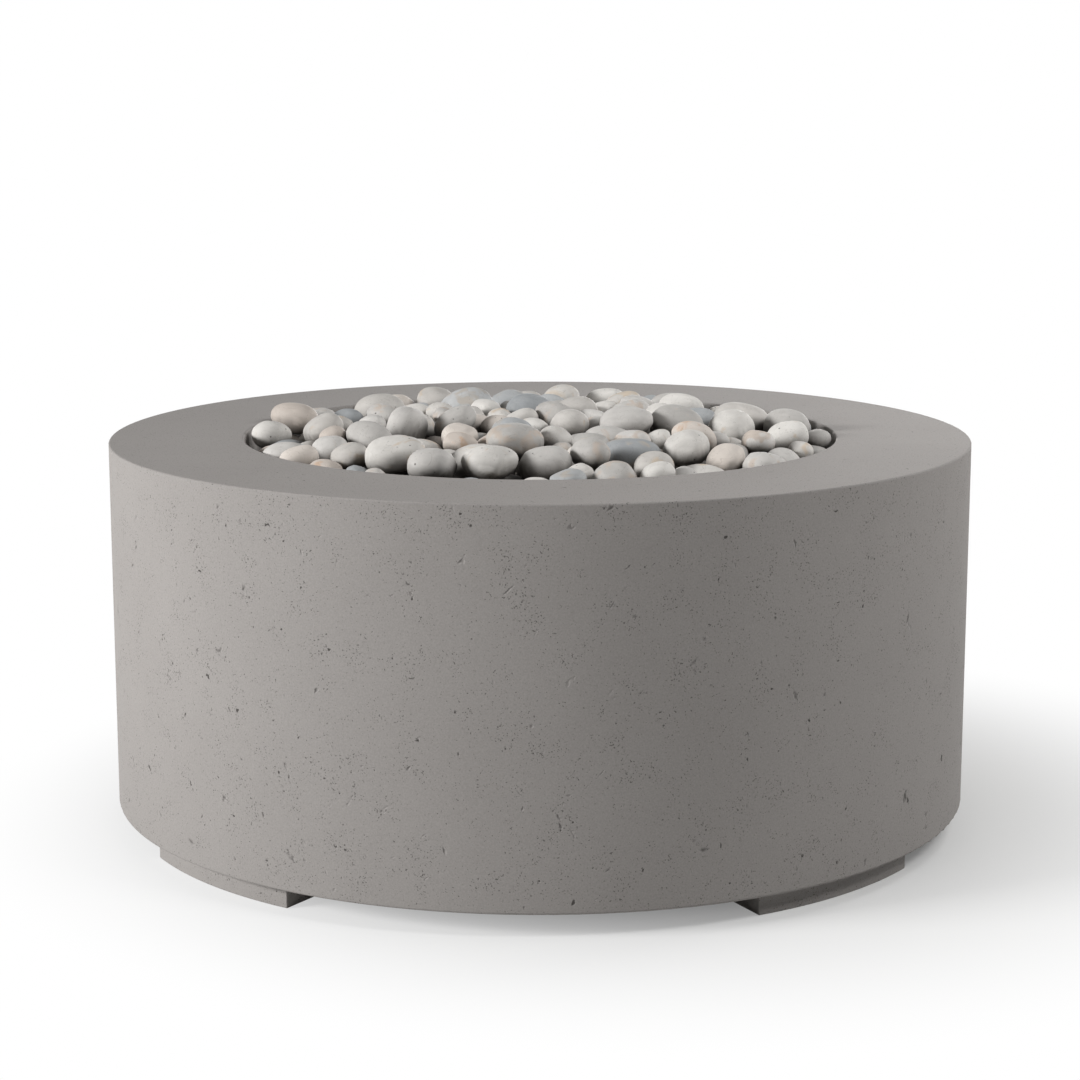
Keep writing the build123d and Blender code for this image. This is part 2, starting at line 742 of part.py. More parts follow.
    def settle(self, stone, x, y):
        """Nudges and rocks a stone about its place for as long as that lets it sink."""
        sunk = np.inf
        for nudge in range(self.trial_nudges):
            size = nudge and 1 - nudge / self.trial_nudges
            dx, dy, turn, lean, roll = self.random.normal(size=5) * size * self.nudge_sizes
            trial = replace(stone, axes=self.turned_axes(turn, lean, roll) @ stone.axes)
            if not self.clears_wall(trial, x + dx, y + dy):
                continue
            height = self.rest_height(trial, self.fine_points, x + dx, y + dy)
            depth = height - self.surface_level(x + dx, y + dy)
            if depth < sunk:
                stone, x, y, sunk = trial, x + dx, y + dy, depth
        stone.centre = np.array([x, y, self.rest_height(stone, self.final_points, x, y)])
        return stone

    def keep(self, stone):
        """Adds a settled stone to the heap and to the height map."""
        self.stones.append(stone)
        near = np.hypot(self.map_x - stone.centre[0], self.map_y - stone.centre[1]) < stone.reach()
        self.map[near] = np.maximum(self.map[near], self.tops([stone], self.map_x[near], self.map_y[near]))

    def fill(self, length, level):
        """Adds stones of about a length until their tops no longer fit under a level about the surface."""
        misses = 0
        while misses < self.misses_allowed:
            stone = self.random_stone(length)
            stone = self.settle(stone, *self.lowest_place(stone))
            x, y, height = stone.centre
            top = height + stone.surface(self.directions(self.fine_points))[:, 2].max()
            if top > self.surface_level(x, y) + level or not self.clears_wall(stone, x, y):
                misses += 1
                continue
            self.keep(stone)


def sorted_stones():
    """The heap's stones, each in the group of its tint."""
    heap = Heap(stone_seed)
    heap.fill(stone_length, stone_proud)
    heap.fill(small_stone_length, small_stone_proud)
    groups = {tint: [] for tint in tint_shares}
    shares = list(tint_shares.values())
    for stone in heap.stones:
        tint = heap.random.choice(list(tint_shares), p=np.array(shares) / sum(shares))
        groups[str(tint)].append(stone.solid())
    return groups


# The pieces, each in its own node

os.makedirs("parts", exist_ok=True)

save("concrete_drum", concrete_drum())
foot_names = ("foot_rear_right", "foot_rear_left", "foot_front_left", "foot_front_right")
for foot_name, foot in zip(foot_names, around(foot_angles, concrete_foot())):
    save(foot_name, foot)
on_screw_circle = Pos(screw_circle_radius, 0, 0)
save("foot_screws", *around(screw_angles, on_screw_circle * foot_screw()))
save("foot_sleeves", *around(screw_angles, on_screw_circle * threaded_sleeve()))

save("burner_pan", burner_pan())
save("burner_outer_ring", *burner_ring(outer_ring_radius))
save("burner_inner_ring", *burner_ring(inner_ring_radius))
save("burner_cross_tubes", *burner_cross_tubes())
save("burner_hub", burner_hub())
save("burner_saddles", *around(saddle_angles, burner_saddle()))
save("saddle_screws", *around(saddle_angles, saddle_screw()))

save("burner_nipple", at_height(nipple_low, pipe(pipe_radius, pipe_bore_radius, burner_nipple_length)))
save("pan_lock_nut", pan_lock_nut())
save("air_mixer", air_mixer())
save("gas_injector", gas_injector())
save("union_tail", union_tail())
save("union_seat", union_seat())
save("union_nut", union_nut())

save("valve_body", valve_body())
save("valve_seats", *valve_seats())
save("valve_adapter", valve_adapter())
save("valve_ball", valve_ball())
save("valve_stem", valve_stem())
save("packing_nut", packing_nut())
save("valve_lever", valve_lever())
save("lever_grip", lever_grip())
save("lever_nut", lever_nut())
save("inlet_nipple", inlet_nipple())

for tint, stones in sorted_stones().items():
    save(f"stones_{tint}", *stones)
    print("stones", tint, len(stones))
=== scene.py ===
"""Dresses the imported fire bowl: cast concrete, tumbled river stones, steel burner and brass fittings.

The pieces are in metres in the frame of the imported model, with +Z up and the front towards -Y.
"""

import logging
import math
from collections.abc import Sequence
from dataclasses import dataclass, field
from enum import Enum
from functools import cache
from typing import Any

import bpy
import numpy as np
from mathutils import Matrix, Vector


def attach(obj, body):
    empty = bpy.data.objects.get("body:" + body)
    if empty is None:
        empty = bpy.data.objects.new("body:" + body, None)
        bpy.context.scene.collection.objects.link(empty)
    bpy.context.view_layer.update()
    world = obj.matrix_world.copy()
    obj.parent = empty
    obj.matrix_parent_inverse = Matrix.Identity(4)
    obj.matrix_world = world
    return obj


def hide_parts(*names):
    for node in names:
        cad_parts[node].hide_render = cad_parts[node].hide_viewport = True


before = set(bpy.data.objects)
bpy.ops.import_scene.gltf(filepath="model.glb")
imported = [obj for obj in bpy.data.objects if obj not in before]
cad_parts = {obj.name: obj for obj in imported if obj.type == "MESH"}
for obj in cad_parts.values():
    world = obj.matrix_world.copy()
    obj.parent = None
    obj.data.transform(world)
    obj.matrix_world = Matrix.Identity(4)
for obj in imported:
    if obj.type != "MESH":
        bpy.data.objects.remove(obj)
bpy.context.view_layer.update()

MM = 0.001
BOWL_BODY = "bowl"
STONE_PLACE = "stone_place"
log = logging.getLogger("fire_bowl")

Tree = bpy.types.NodeTree
Node = bpy.types.Node
Socket = bpy.types.NodeSocket
Range = tuple[float, float]
Triple = tuple[float, float, float]


class Op(Enum):
    """What a sum of numbers or vectors does."""

    ADD = "ADD"
    SUBTRACT = "SUBTRACT"
    MULTIPLY = "MULTIPLY"
    MULTIPLY_ADD = "MULTIPLY_ADD"
    POWER = "POWER"
    ABSOLUTE = "ABSOLUTE"
    MAXIMUM = "MAXIMUM"
    SCALE = "SCALE"
    DISTANCE = "DISTANCE"


class Fall(Enum):
    """How a value runs from one end of its range to the other."""

    STRAIGHT = "LINEAR"
    SOFT = "SMOOTHSTEP"


class Tint(Enum):
    """The tints that the river stones are sorted into, in the order in which they are built."""

    CREAM = "cream"
    PALE_GREY = "pale_grey"
    BLUE_GREY = "blue_grey"
    TAN = "tan"


class Share(Enum):
    """What a stone's points carry for its finish, each from none to one."""

    SHADE = "stone_shade"
    WARMTH = "stone_warmth"
    POCKED = "stone_pocked"
    # How deep a point lies among the stones round it, which the finish turns into painted shade.
    SUNK = "stone_sunk"


def linear(colour: str) -> tuple[float, float, float, float]:
    """Turns an sRGB hex colour into linear light, by the curve of the sRGB standard.

    Args:
        colour: Six hex digits after a hash sign.

    Returns:
        Red, green, blue and an alpha of one.
    """
    shares = [int(colour[i : i + 2], 16) / 255 for i in (1, 3, 5)]
    red, green, blue = (s / 12.92 if s <= 0.04045 else ((s + 0.055) / 1.055) ** 2.4 for s in shares)
    return red, green, blue, 1.0


def add(tree: Tree, kind: str, inputs: Sequence[Any] | dict[str, Any] = (), **settings: Any) -> Node:
    """Adds one node with its settings, its values and its links.

    Args:
        tree: The node tree that takes the node.
        kind: The node's type, without the word ShaderNode in front.
        inputs: What the inputs take, by name or in the order of those in use: a value, an output socket to
            link from, or a node, whose first output in use is linked.
        settings: The node's own attributes.

    Returns:
        The new node.
    """
    node = tree.nodes.new("ShaderNode" + kind)
    for name, value in settings.items():
        setattr(node, name, value.value if isinstance(value, Enum) else value)
    if isinstance(inputs, dict):
        pairs = [(node.inputs[name], value) for name, value in inputs.items()]
    else:
        pairs = list(zip([socket for socket in node.inputs if socket.enabled], inputs))
    for socket, value in pairs:
        if isinstance(value, Node):
            value = next(output for output in value.outputs if output.enabled)
        if isinstance(value, Socket):
            tree.links.new(value, socket)
        else:
            socket.default_value = value
    return node


def new_material(name: str) -> tuple[bpy.types.Material, Tree]:
    """Makes an empty material.

    Args:
        name: The material's name.

    Returns:
        The material and its cleared node tree.
    """
    material = bpy.data.materials.new(name)
    material.use_nodes = True
    material.node_tree.nodes.clear()
    return material, material.node_tree


@dataclass(frozen=True)
class Noise:
    """A cloudy random pattern: the size of its clouds, the finer layers on them, how strong those are, and
    how far the pattern wanders out of shape."""

    size_mm: float
    layers: float = 2.0
    strength: float = 0.5
    wander: float = 0.0

    def at(self, place: Node | Socket) -> dict[str, Any]:
        """Gives what a noise texture takes at a point: its scale is one over its real size."""
        look = {"Detail": self.layers, "Roughness": self.strength, "Distortion": self.wander}
        return {"Vector": place, "Scale": 1 / (self.size_mm * MM)} | look


@dataclass(frozen=True)
class Dots:
    """Round dots at the middles of the luckier cells of a random mesh. The luckiest cell's dot has the whole
    radius, and each is full over a share of its own and then falls to nothing at its edge."""

    spacing_mm: float
    radius_mm: float
    full_share: float
    fall: Fall
    # A plain cell keeps a dot with a radius of this share of the spacing, which is too small to see.
    no_radius: float = 0.001

    def draw(self, tree: Tree, place: Socket, rarity: Node | float) -> Node:
        """Scatters the dots.

        Args:
            tree: The material's nodes.
            place: The point that is shaded.
            rarity: The luck, from none to one, below which a cell stays plain.

        Returns:
            One at the middle of a dot and none outside.
        """
        cells = add(tree, "TexVoronoi", {"Vector": place, "Scale": 1 / (self.spacing_mm * MM)})
        luck = add(tree, "SeparateColor", (cells.outputs["Color"],))
        whole = self.radius_mm / self.spacing_mm
        radius = add(tree, "MapRange", (luck, rarity, 1.0, self.no_radius, whole))
        full = add(tree, "Math", (radius, self.full_share), operation=Op.MULTIPLY)
        return add(tree, "MapRange", (cells, full, radius, 1.0, 0.0), interpolation_type=self.fall)


@dataclass(frozen=True)
class Mark:
    """One kind of blemish on cast concrete: the crests of a pattern.

    A crest shows above the rare level where marks are few and above the common level where they gather, and
    it is whole at an edge's height over that. Dark is how far its middle takes the hole's colour, painted
    shade in place of the hollow's shadow, and deep is how far it sinks. Stretch and turn draw it out along a
    slant.
    """

    pattern: Noise
    rare: float
    common: float
    edge: float
    dark: float
    deep: float
    stretch: float = 1.0
    turn: Triple = (0.0, 0.0, 0.0)


@dataclass(frozen=True)
class Finish:
    """What a piece is made of and how its surface was made."""

    name: str

    @cache
    def material(self) -> bpy.types.Material:
        """Builds the finish's material once.

        Returns:
            The material that every piece with this finish shares.
        """
        material, tree = new_material(self.name)
        add(tree, "OutputMaterial", (add(tree, "BsdfPrincipled", self.shader(tree)),))
        return material

    def shader(self, tree: Tree) -> dict[str, Any]:
        """Draws the finish's patterns in a tree and gives what its shader takes, by name."""
        raise NotImplementedError


@dataclass(frozen=True)
class CastConcrete(Finish):
    """Concrete cast in a smooth mould and left bare: a matt even grey, faintly cloudy over a hand's
    breadth, with a sandy grain, specks and ragged pits that gather in drifts, slanting tears where the mould
    dragged, and a few round air holes. The struck top has fewer of them than the walls."""

    name: str = "cast_concrete_bare"
    pale: str = "#979390"
    deep: str = "#8D8986"
    # The colour of the painted shade down in the pits, air holes and tears, in place of their shadow.
    hole: str = "#4B4845"
    cloud: Noise = Noise(190.0, layers=6.0, strength=0.6)
    # Sand grains are about 0.5 mm, too fine to show from the camera, so they are drawn at 1.8 mm.
    grain: Noise = Noise(1.8, layers=3.0)
    grain_span: Range = (0.25, 0.75)
    grain_tones: Range = (0.9, 1.1)
    grain_height: float = 0.04
    # Marks gather where this pattern is high, and a face that points up takes only a share of them.
    drift: Noise = Noise(32.0, layers=3.0)
    drift_span: Range = (0.44, 0.66)
    top_share: float = 0.35
    # Specks, pits, and two sets of tears. Pits have gentle sides, because steep ones show no lit edge.
    marks: tuple[Mark, ...] = (
        Mark(Noise(1.9, 1.0, wander=0.4), rare=0.7, common=0.62, edge=0.04, dark=0.8, deep=0.06),
        Mark(Noise(7.0, 1.5, wander=0.4), rare=0.735, common=0.655, edge=0.11, dark=1.3, deep=0.9),
        Mark(
            Noise(14.0, 2.5, wander=0.4), rare=0.715, common=0.66, edge=0.1, dark=0.8, deep=1.5,
            stretch=2.2, turn=(0.0, 0.9, 0.0),
        ),
        Mark(
            Noise(16.0, 2.5, wander=0.4), rare=0.725, common=0.67, edge=0.1, dark=0.8, deep=1.5,
            stretch=2.2, turn=(-0.7, 0.0, 0.4),
        ),
    )
    # A mark's painted shade is its depth to this power, so that only its middle is dark.
    mark_core: float = 2.5
    # The share of cells with a round hole where marks gather, and the part of that share found anywhere.
    air_hole: Dots = Dots(24.0, radius_mm=2.3, full_share=0.5, fall=Fall.SOFT)
    air_hole_share: float = 0.35
    air_hole_stray: float = 0.2
    relief_mm: float = 1.0
    relief_strength: float = 0.9
    roughness: float = 0.86
    specular: float = 0.3

    def shader(self, tree: Tree) -> dict[str, Any]:
        """Draws the clouds and the grain, and every mark as a sunken spot with a dark middle of painted
        shade.

        Args:
            tree: The material's nodes.

        Returns:
            What the shader takes, by name.
        """
        place = add(tree, "TexCoord").outputs["Object"]
        gather = self.gather(tree, place)
        # Each mark sinks as real relief, and its middle takes painted shade in place of the shadow in the
        # hollow.
        dark = deep = self.air_holes(tree, place, gather)
        for mark in self.marks:
            spot = self.spots(tree, place, gather, mark)
            core = add(tree, "Math", (spot, self.mark_core), operation=Op.POWER)
            shade = add(tree, "Math", (core, mark.dark), operation=Op.MULTIPLY)
            dark = add(tree, "Math", (dark, shade), operation=Op.MAXIMUM)
            deep = add(tree, "Math", (spot, mark.deep, deep), operation=Op.MULTIPLY_ADD)
        cloud = add(tree, "TexNoise", self.cloud.at(place))
        grain = add(tree, "TexNoise", self.grain.at(place))
        tone = add(tree, "Mix", (cloud, linear(self.deep), linear(self.pale)), data_type="RGBA")
        grainy = add(tree, "MapRange", (grain, *self.grain_span, *self.grain_tones))
        sandy = add(tree, "VectorMath", (tone, grainy), operation=Op.SCALE)
        colour = add(tree, "Mix", (dark, sandy, linear(self.hole)), data_type="RGBA")
        sand = add(tree, "Math", (grain, self.grain_height), operation=Op.MULTIPLY)
        height = add(tree, "Math", (sand, deep), operation=Op.SUBTRACT)
        relief = {"Height": height, "Strength": self.relief_strength, "Distance": self.relief_mm * MM}
        gloss = {"Roughness": self.roughness, "Specular IOR Level": self.specular}
        return {"Base Color": colour, "Normal": add(tree, "Bump", relief)} | gloss

    def gather(self, tree: Tree, place: Socket) -> Node:
        """Finds where marks gather: in drifts, and less on a face that points up.

        Args:
            tree: The material's nodes.
            place: The point that is shaded.

        Returns:
            How far the region takes marks, from none to one.
        """
        drift = add(tree, "TexNoise", self.drift.at(place))
        crowd = add(tree, "MapRange", (drift, *self.drift_span, 0.0, 1.0))
        normal = add(tree, "NewGeometry").outputs["Normal"]
        upward = add(tree, "SeparateXYZ", (normal,)).outputs["Z"]
        wall = add(tree, "MapRange", (upward, 0.0, 1.0, 1.0, self.top_share))
        return add(tree, "Math", (crowd, wall), operation=Op.MULTIPLY)

    @staticmethod
    def spots(tree: Tree, place: Socket, gather: Node, mark: Mark) -> Node:
        """Marks the crests of a noise: the level they must pass falls where marks gather.

        Args:
            tree: The material's nodes.
            place: The point that is shaded.
            gather: How far the region takes marks, from none to one.
            mark: The kind of mark.

        Returns:
            One inside a mark and none outside.
        """
        lie = {"Vector": place, "Rotation": mark.turn, "Scale": (1.0, 1.0, mark.stretch)}
        slant = add(tree, "Mapping", lie, vector_type="TEXTURE")
        crest = add(tree, "TexNoise", mark.pattern.at(slant))
        least = add(tree, "MapRange", (gather, 0.0, 1.0, mark.rare, mark.common))
        most = add(tree, "Math", (least, mark.edge), operation=Op.ADD)
        return add(tree, "MapRange", (crest, least, most, 0.0, 1.0), interpolation_type=Fall.SOFT)

    def air_holes(self, tree: Tree, place: Socket, gather: Node) -> Node:
        """Scatters round holes where marks gather, and a few stray ones elsewhere.

        Args:
            tree: The material's nodes.
            place: The point that is shaded.
            gather: How far the region takes marks, from none to one.

        Returns:
            One inside a hole and none outside.
        """
        spread = (gather, 1 - self.air_hole_stray, self.air_hole_stray)
        share = add(tree, "Math", spread, operation=Op.MULTIPLY_ADD)
        rarity = add(tree, "Math", (share, -self.air_hole_share, 1.0), operation=Op.MULTIPLY_ADD)
        return self.air_hole.draw(tree, place, rarity)


@dataclass(frozen=True)
class RiverStone(Finish):
    """Hard stone tumbled in a river: matt and smooth to the hand, clouded and faintly banded along its bed,
    stained where iron has run, peppered with dark grains, veined, and on some stones pocked with small
    knocks, whose dark middles are painted shade in the pits. Each stone keeps its own shade of the tint,
    and painted shade darkens it down in the gaps among the other stones, in place of their shadow."""

    pale: str
    deep: str
    stain: str
    speck: str
    # The colour of the painted shade down in the knocks, in place of their shadow.
    knock_shade: str = "#3C3A38"
    # The colour of the painted shade in the gaps among the stones, in place of their shadow.
    gap_shade: str = "#3E3934"
    cloud: Noise = Noise(17.0, layers=6.0, strength=0.62)
    cloud_reach: float = 0.9
    # Iron has stained a stone where this pattern passes a level, lower on a warm stone than on a cold one.
    patch: Noise = Noise(24.0, layers=4.0, wander=0.8)
    patch_levels: Range = (0.77, 0.47)
    patch_edge: float = 0.16
    patch_most: float = 0.75
    # Bands are drawn out along and across the stone, as its bed lies.
    band: Noise = Noise(8.0, layers=3.0, wander=0.6)
    band_lie: Triple = (0.25, 0.4, 1.0)
    band_span: Range = (0.3, 0.7)
    band_tones: Range = (0.93, 1.05)
    band_height: float = 0.3
    # Hair veins run where this pattern passes its middle value.
    vein: Noise = Noise(30.0, wander=1.4)
    vein_middle: float = 0.5
    vein_edge: float = 0.006
    vein_most: float = 0.32
    # Mineral grains are under 0.5 mm, so the pepper is drawn with dots up to 1.6 mm across to show.
    pepper: Dots = Dots(2.6, radius_mm=0.78, full_share=0.4, fall=Fall.STRAIGHT)
    pepper_rarity: float = 0.62
    pepper_most: float = 0.5
    # Only stones whose share is in this span or over it are knocked.
    knock: Dots = Dots(8.0, radius_mm=1.76, full_share=0.4, fall=Fall.STRAIGHT)
    knock_rarity: float = 0.55
    knock_span: Range = (0.6, 0.8)
    knock_most: float = 0.85
    # The skin's grain is a tenth of this size and is drawn coarser, so that it softens the gloss.
    skin: Noise = Noise(0.9)
    skin_height: float = 0.12
    # Painted shade for the gaps, in place of the stones' shadow on each other, deepens over this span of
    # depth among them.
    gap_shade_span: Range = (0.06, 0.54)
    gap_shade_most: float = 0.88
    relief_mm: float = 0.9
    relief_strength: float = 0.5
    roughness: float = 0.74
    specular: float = 0.35

    def shader(self, tree: Tree) -> dict[str, Any]:
        """Draws the stone's own colours, then its marks, then painted shade where it lies deep among the
        others.

        Args:
            tree: The material's nodes.

        Returns:
            What the shader takes, by name.
        """
        place = add(tree, "Attribute", attribute_name=STONE_PLACE).outputs["Vector"]
        held = {share: add(tree, "Attribute", attribute_name=share.value) for share in Share}
        shares = {share: node.outputs["Fac"] for share, node in held.items()}
        bed = add(tree, "Mapping", {"Vector": place, "Scale": self.band_lie})
        bands = add(tree, "TexNoise", self.band.at(bed))
        banded = add(tree, "MapRange", (bands, *self.band_span, *self.band_tones))
        ground = self.ground(tree, place, shares[Share.SHADE], shares[Share.WARMTH])
        toned = add(tree, "VectorMath", (ground, banded), operation=Op.SCALE)
        knocks = self.knock.draw(tree, place, self.knock_rarity)
        pocked = add(tree, "MapRange", (shares[Share.POCKED], *self.knock_span, 0.0, 1.0))
        knocked = add(tree, "Math", (knocks, pocked), operation=Op.MULTIPLY)
        # Painted shade: a knock sinks in the relief, and its middle darkens in place of the shadow in the
        # pit.
        knock_shaded = add(tree, "Math", (knocked, self.knock_most), operation=Op.MULTIPLY)
        peppered = self.peppered(tree, place, toned)
        clean = add(tree, "Mix", (knock_shaded, peppered, linear(self.knock_shade)), data_type="RGBA")
        # Painted shade: the stone darkens where it lies deep among its neighbours, in place of the shadow
        # they cast.
        depth = (shares[Share.SUNK], *self.gap_shade_span, 0.0, self.gap_shade_most)
        gap_shaded = add(tree, "MapRange", depth, interpolation_type=Fall.SOFT)
        colour = add(tree, "Mix", (gap_shaded, clean, linear(self.gap_shade)), data_type="RGBA")
        grain = add(tree, "TexNoise", self.skin.at(place))
        skin = add(tree, "Math", (grain, self.skin_height), operation=Op.MULTIPLY)
        rough = add(tree, "Math", (bands, self.band_height, skin), operation=Op.MULTIPLY_ADD)
        height = add(tree, "Math", (rough, knocked), operation=Op.SUBTRACT)
        relief = {"Height": height, "Strength": self.relief_strength, "Distance": self.relief_mm * MM}
        gloss = {"Roughness": self.roughness, "Specular IOR Level": self.specular}
        return {"Base Color": colour, "Normal": add(tree, "Bump", relief)} | gloss

    def ground(self, tree: Tree, place: Socket, shade: Socket, warmth: Socket) -> Node:
        """Clouds a stone about its own shade, and stains it in patches that spread with its warmth.

        Args:
            tree: The material's nodes.
            place: The point that is shaded.
            shade: Where the stone lies between the deep tone and the pale one.
            warmth: How far it is stained.

        Returns:
            The colour of the bare stone.
        """
        cloud = add(tree, "TexNoise", self.cloud.at(place))
        swing = (cloud, self.cloud_reach, -self.cloud_reach / 2)
        tone = add(tree, "Math", swing, operation=Op.MULTIPLY_ADD)
        level = add(tree, "Math", (shade, tone), operation=Op.ADD, use_clamp=True)
        base = add(tree, "Mix", (level, linear(self.deep), linear(self.pale)), data_type="RGBA")
        patch = add(tree, "TexNoise", self.patch.at(place))
        least = add(tree, "MapRange", (warmth, 0.0, 1.0, *self.patch_levels))
        most = add(tree, "Math", (least, self.patch_edge), operation=Op.ADD)
        reach = (patch, least, most, 0.0, self.patch_most)
        stained = add(tree, "MapRange", reach, interpolation_type=Fall.SOFT)
        return add(tree, "Mix", (stained, base, linear(self.stain)), data_type="RGBA")

    def peppered(self, tree: Tree, place: Socket, ground: Node) -> Node:
        """Draws hair veins, where a slow pattern passes its middle value, and dark grains.

        Args:
            tree: The material's nodes.
            place: The point that is shaded.
            ground: The colour under them.

        Returns:
            The colour with both.
        """
        line = add(tree, "TexNoise", self.vein.at(place))
        off = add(tree, "Math", (line, self.vein_middle), operation=Op.SUBTRACT)
        beside = add(tree, "Math", (off,), operation=Op.ABSOLUTE)
        veined = add(tree, "MapRange", (beside, 0.0, self.vein_edge, self.vein_most, 0.0))
        lined = add(tree, "Mix", (veined, ground, linear(self.speck)), data_type="RGBA")
        grains = self.pepper.draw(tree, place, self.pepper_rarity)
        freckled = add(tree, "Math", (grains, self.pepper_most), operation=Op.MULTIPLY)
        return add(tree, "Mix", (freckled, lined, linear(self.speck)), data_type="RGBA")


@dataclass(frozen=True)
class WorkedMetal(Finish):
    """Bare or plated metal: the grain of its working lies along one axis and breaks its gloss into streaks,
    and handling leaves duller clouds on it."""

    colour: str
    dull: str
    roughness: float
    # Brush and turning lines are about 0.05 mm apart, so they are drawn up to ten times as coarse to show.
    grain_mm: Triple
    grain_layers: float = 3.0
    gloss_reach: float = 0.18
    cloud: Noise = Noise(18.0, layers=4.0)
    wear_span: Range = (0.35, 0.7)
    wear_most: float = 0.8
    wear_dulls: float = 0.12
    relief_mm: float = 0.05
    relief_strength: float = 0.35

    def shader(self, tree: Tree) -> dict[str, Any]:
        """Draws the grain of the working and the duller clouds.

        Args:
            tree: The material's nodes.

        Returns:
            What the shader takes, by name.
        """
        place = add(tree, "TexCoord").outputs["Object"]
        scale = tuple(1 / (size * MM) for size in self.grain_mm)
        along = add(tree, "Mapping", {"Vector": place, "Scale": scale})
        grain = add(tree, "TexNoise", {"Vector": along, "Scale": 1.0, "Detail": self.grain_layers})
        cloud = add(tree, "TexNoise", self.cloud.at(place))
        worn = add(tree, "MapRange", (cloud, *self.wear_span, 0.0, self.wear_most))
        colour = add(tree, "Mix", (worn, linear(self.colour), linear(self.dull)), data_type="RGBA")
        least = self.roughness - self.gloss_reach / 2
        gloss = add(tree, "Math", (grain, self.gloss_reach, least), operation=Op.MULTIPLY_ADD)
        dulled = add(tree, "Math", (worn, self.wear_dulls, gloss), operation=Op.MULTIPLY_ADD)
        relief = {"Height": grain, "Strength": self.relief_strength, "Distance": self.relief_mm * MM}
        bump = add(tree, "Bump", relief)
        return {"Base Color": colour, "Metallic": 1.0, "Roughness": dulled, "Normal": bump}


@dataclass(frozen=True)
class GalvanisedIron(Finish):
    """Malleable iron dipped in zinc: dull silver flakes of a few millimetres, each turned its own way,
    over the soft bumps of the casting."""

    name: str = "malleable_iron_galvanised"
    pale: str = "#B4B7BA"
    deep: str = "#8B8F93"
    flake_mm: float = 5.0
    casting: Noise = Noise(2.4, layers=3.0)
    gloss_reach: float = 0.2
    roughness: float = 0.5
    relief_mm: float = 0.3
    relief_strength: float = 0.4

    def shader(self, tree: Tree) -> dict[str, Any]:
        """Draws the flakes, each with a tone and a gloss of its own, and the casting's bumps.

        Args:
            tree: The material's nodes.

        Returns:
            What the shader takes, by name.
        """
        place = add(tree, "TexCoord").outputs["Object"]
        flakes = add(tree, "TexVoronoi", {"Vector": place, "Scale": 1 / (self.flake_mm * MM)})
        turn = add(tree, "SeparateColor", (flakes.outputs["Color"],))
        colour = add(tree, "Mix", (turn, linear(self.deep), linear(self.pale)), data_type="RGBA")
        least = self.roughness - self.gloss_reach / 2
        gloss = add(tree, "Math", (turn, self.gloss_reach, least), operation=Op.MULTIPLY_ADD)
        casting = add(tree, "TexNoise", self.casting.at(place))
        relief = {"Height": casting, "Strength": self.relief_strength, "Distance": self.relief_mm * MM}
        bump = add(tree, "Bump", relief)
        return {"Base Color": colour, "Metallic": 1.0, "Roughness": gloss, "Normal": bump}


@dataclass(frozen=True)
class Plastic(Finish):
    """Moulded or dipped plastic: an even colour with a soft sheen over a faint orange-peel skin, soiled in
    places."""

    colour: str
    soil: str
    roughness: float
    skin: Noise = Noise(1.6)
    dirt: Noise = Noise(12.0, layers=4.0)
    dirt_span: Range = (0.5, 0.8)
    dirt_most: float = 0.7
    relief_mm: float = 0.15
    relief_strength: float = 0.3

    def shader(self, tree: Tree) -> dict[str, Any]:
        """Draws the skin and the soiled places.

        Args:
            tree: The material's nodes.

        Returns:
            What the shader takes, by name.
        """
        place = add(tree, "TexCoord").outputs["Object"]
        dirt = add(tree, "TexNoise", self.dirt.at(place))
        soiled = add(tree, "MapRange", (dirt, *self.dirt_span, 0.0, self.dirt_most))
        colour = add(tree, "Mix", (soiled, linear(self.colour), linear(self.soil)), data_type="RGBA")
        skin = add(tree, "TexNoise", self.skin.at(place))
        relief = {"Height": skin, "Strength": self.relief_strength, "Distance": self.relief_mm * MM}
        return {"Base Color": colour, "Roughness": self.roughness, "Normal": add(tree, "Bump", relief)}


CONCRETE = CastConcrete()
# Each metal has its colour, the colour of its dull clouds, its roughness and the grain of its working.
# Sheet brushed along X: long fine lines that pull a highlight out across them.
SHEET = WorkedMetal("stainless_sheet_brushed", "#C4C2BE", "#A9A6A1", 0.38, grain_mm=(60.0, 0.5, 0.5))
# Drawn tube as it leaves the mill: an even, slightly warm grey with a soft blotchy gloss.
TUBE = WorkedMetal("stainless_tube_drawn", "#B9B5AE", "#97908A", 0.36, grain_mm=(3.0, 3.0, 3.0))
# Turned screws: bright, with fine rings round the shank.
SCREW = WorkedMetal("stainless_screw_machined", "#C9C8C5", "#A8A6A3", 0.3, grain_mm=(1.2, 1.2, 0.4))
# Zinc plate on turned steel: a cool, bluish bright grey.
SLEEVE = WorkedMetal("steel_sleeve_zinc_plated", "#C2C5C9", "#A2A6AB", 0.34, grain_mm=(1.5, 1.5, 0.6))
# Turned brass: warm yellow, with close rings that streak its highlights.
BRASS = WorkedMetal("brass_machined", "#D9B36A", "#B58F4C", 0.3, grain_mm=(2.5, 2.5, 0.35))
# Chrome plate on a lapped ball: near a mirror.
CHROME = WorkedMetal("brass_ball_chromed", "#D8DADC", "#C4C7CA", 0.1, grain_mm=(2.0, 2.0, 2.0))
ZINC = GalvanisedIron()
# Moulded seat ring: waxy white.
SEAT = Plastic("seat_ring_moulded_white", "#EDEDE8", "#D9D8D0", 0.45)
# Dipped vinyl: the warning yellow of a gas lever, rubbed and soiled by hands.
VINYL = Plastic("vinyl_dipped_yellow", "#E0A912", "#A97C14", 0.42)
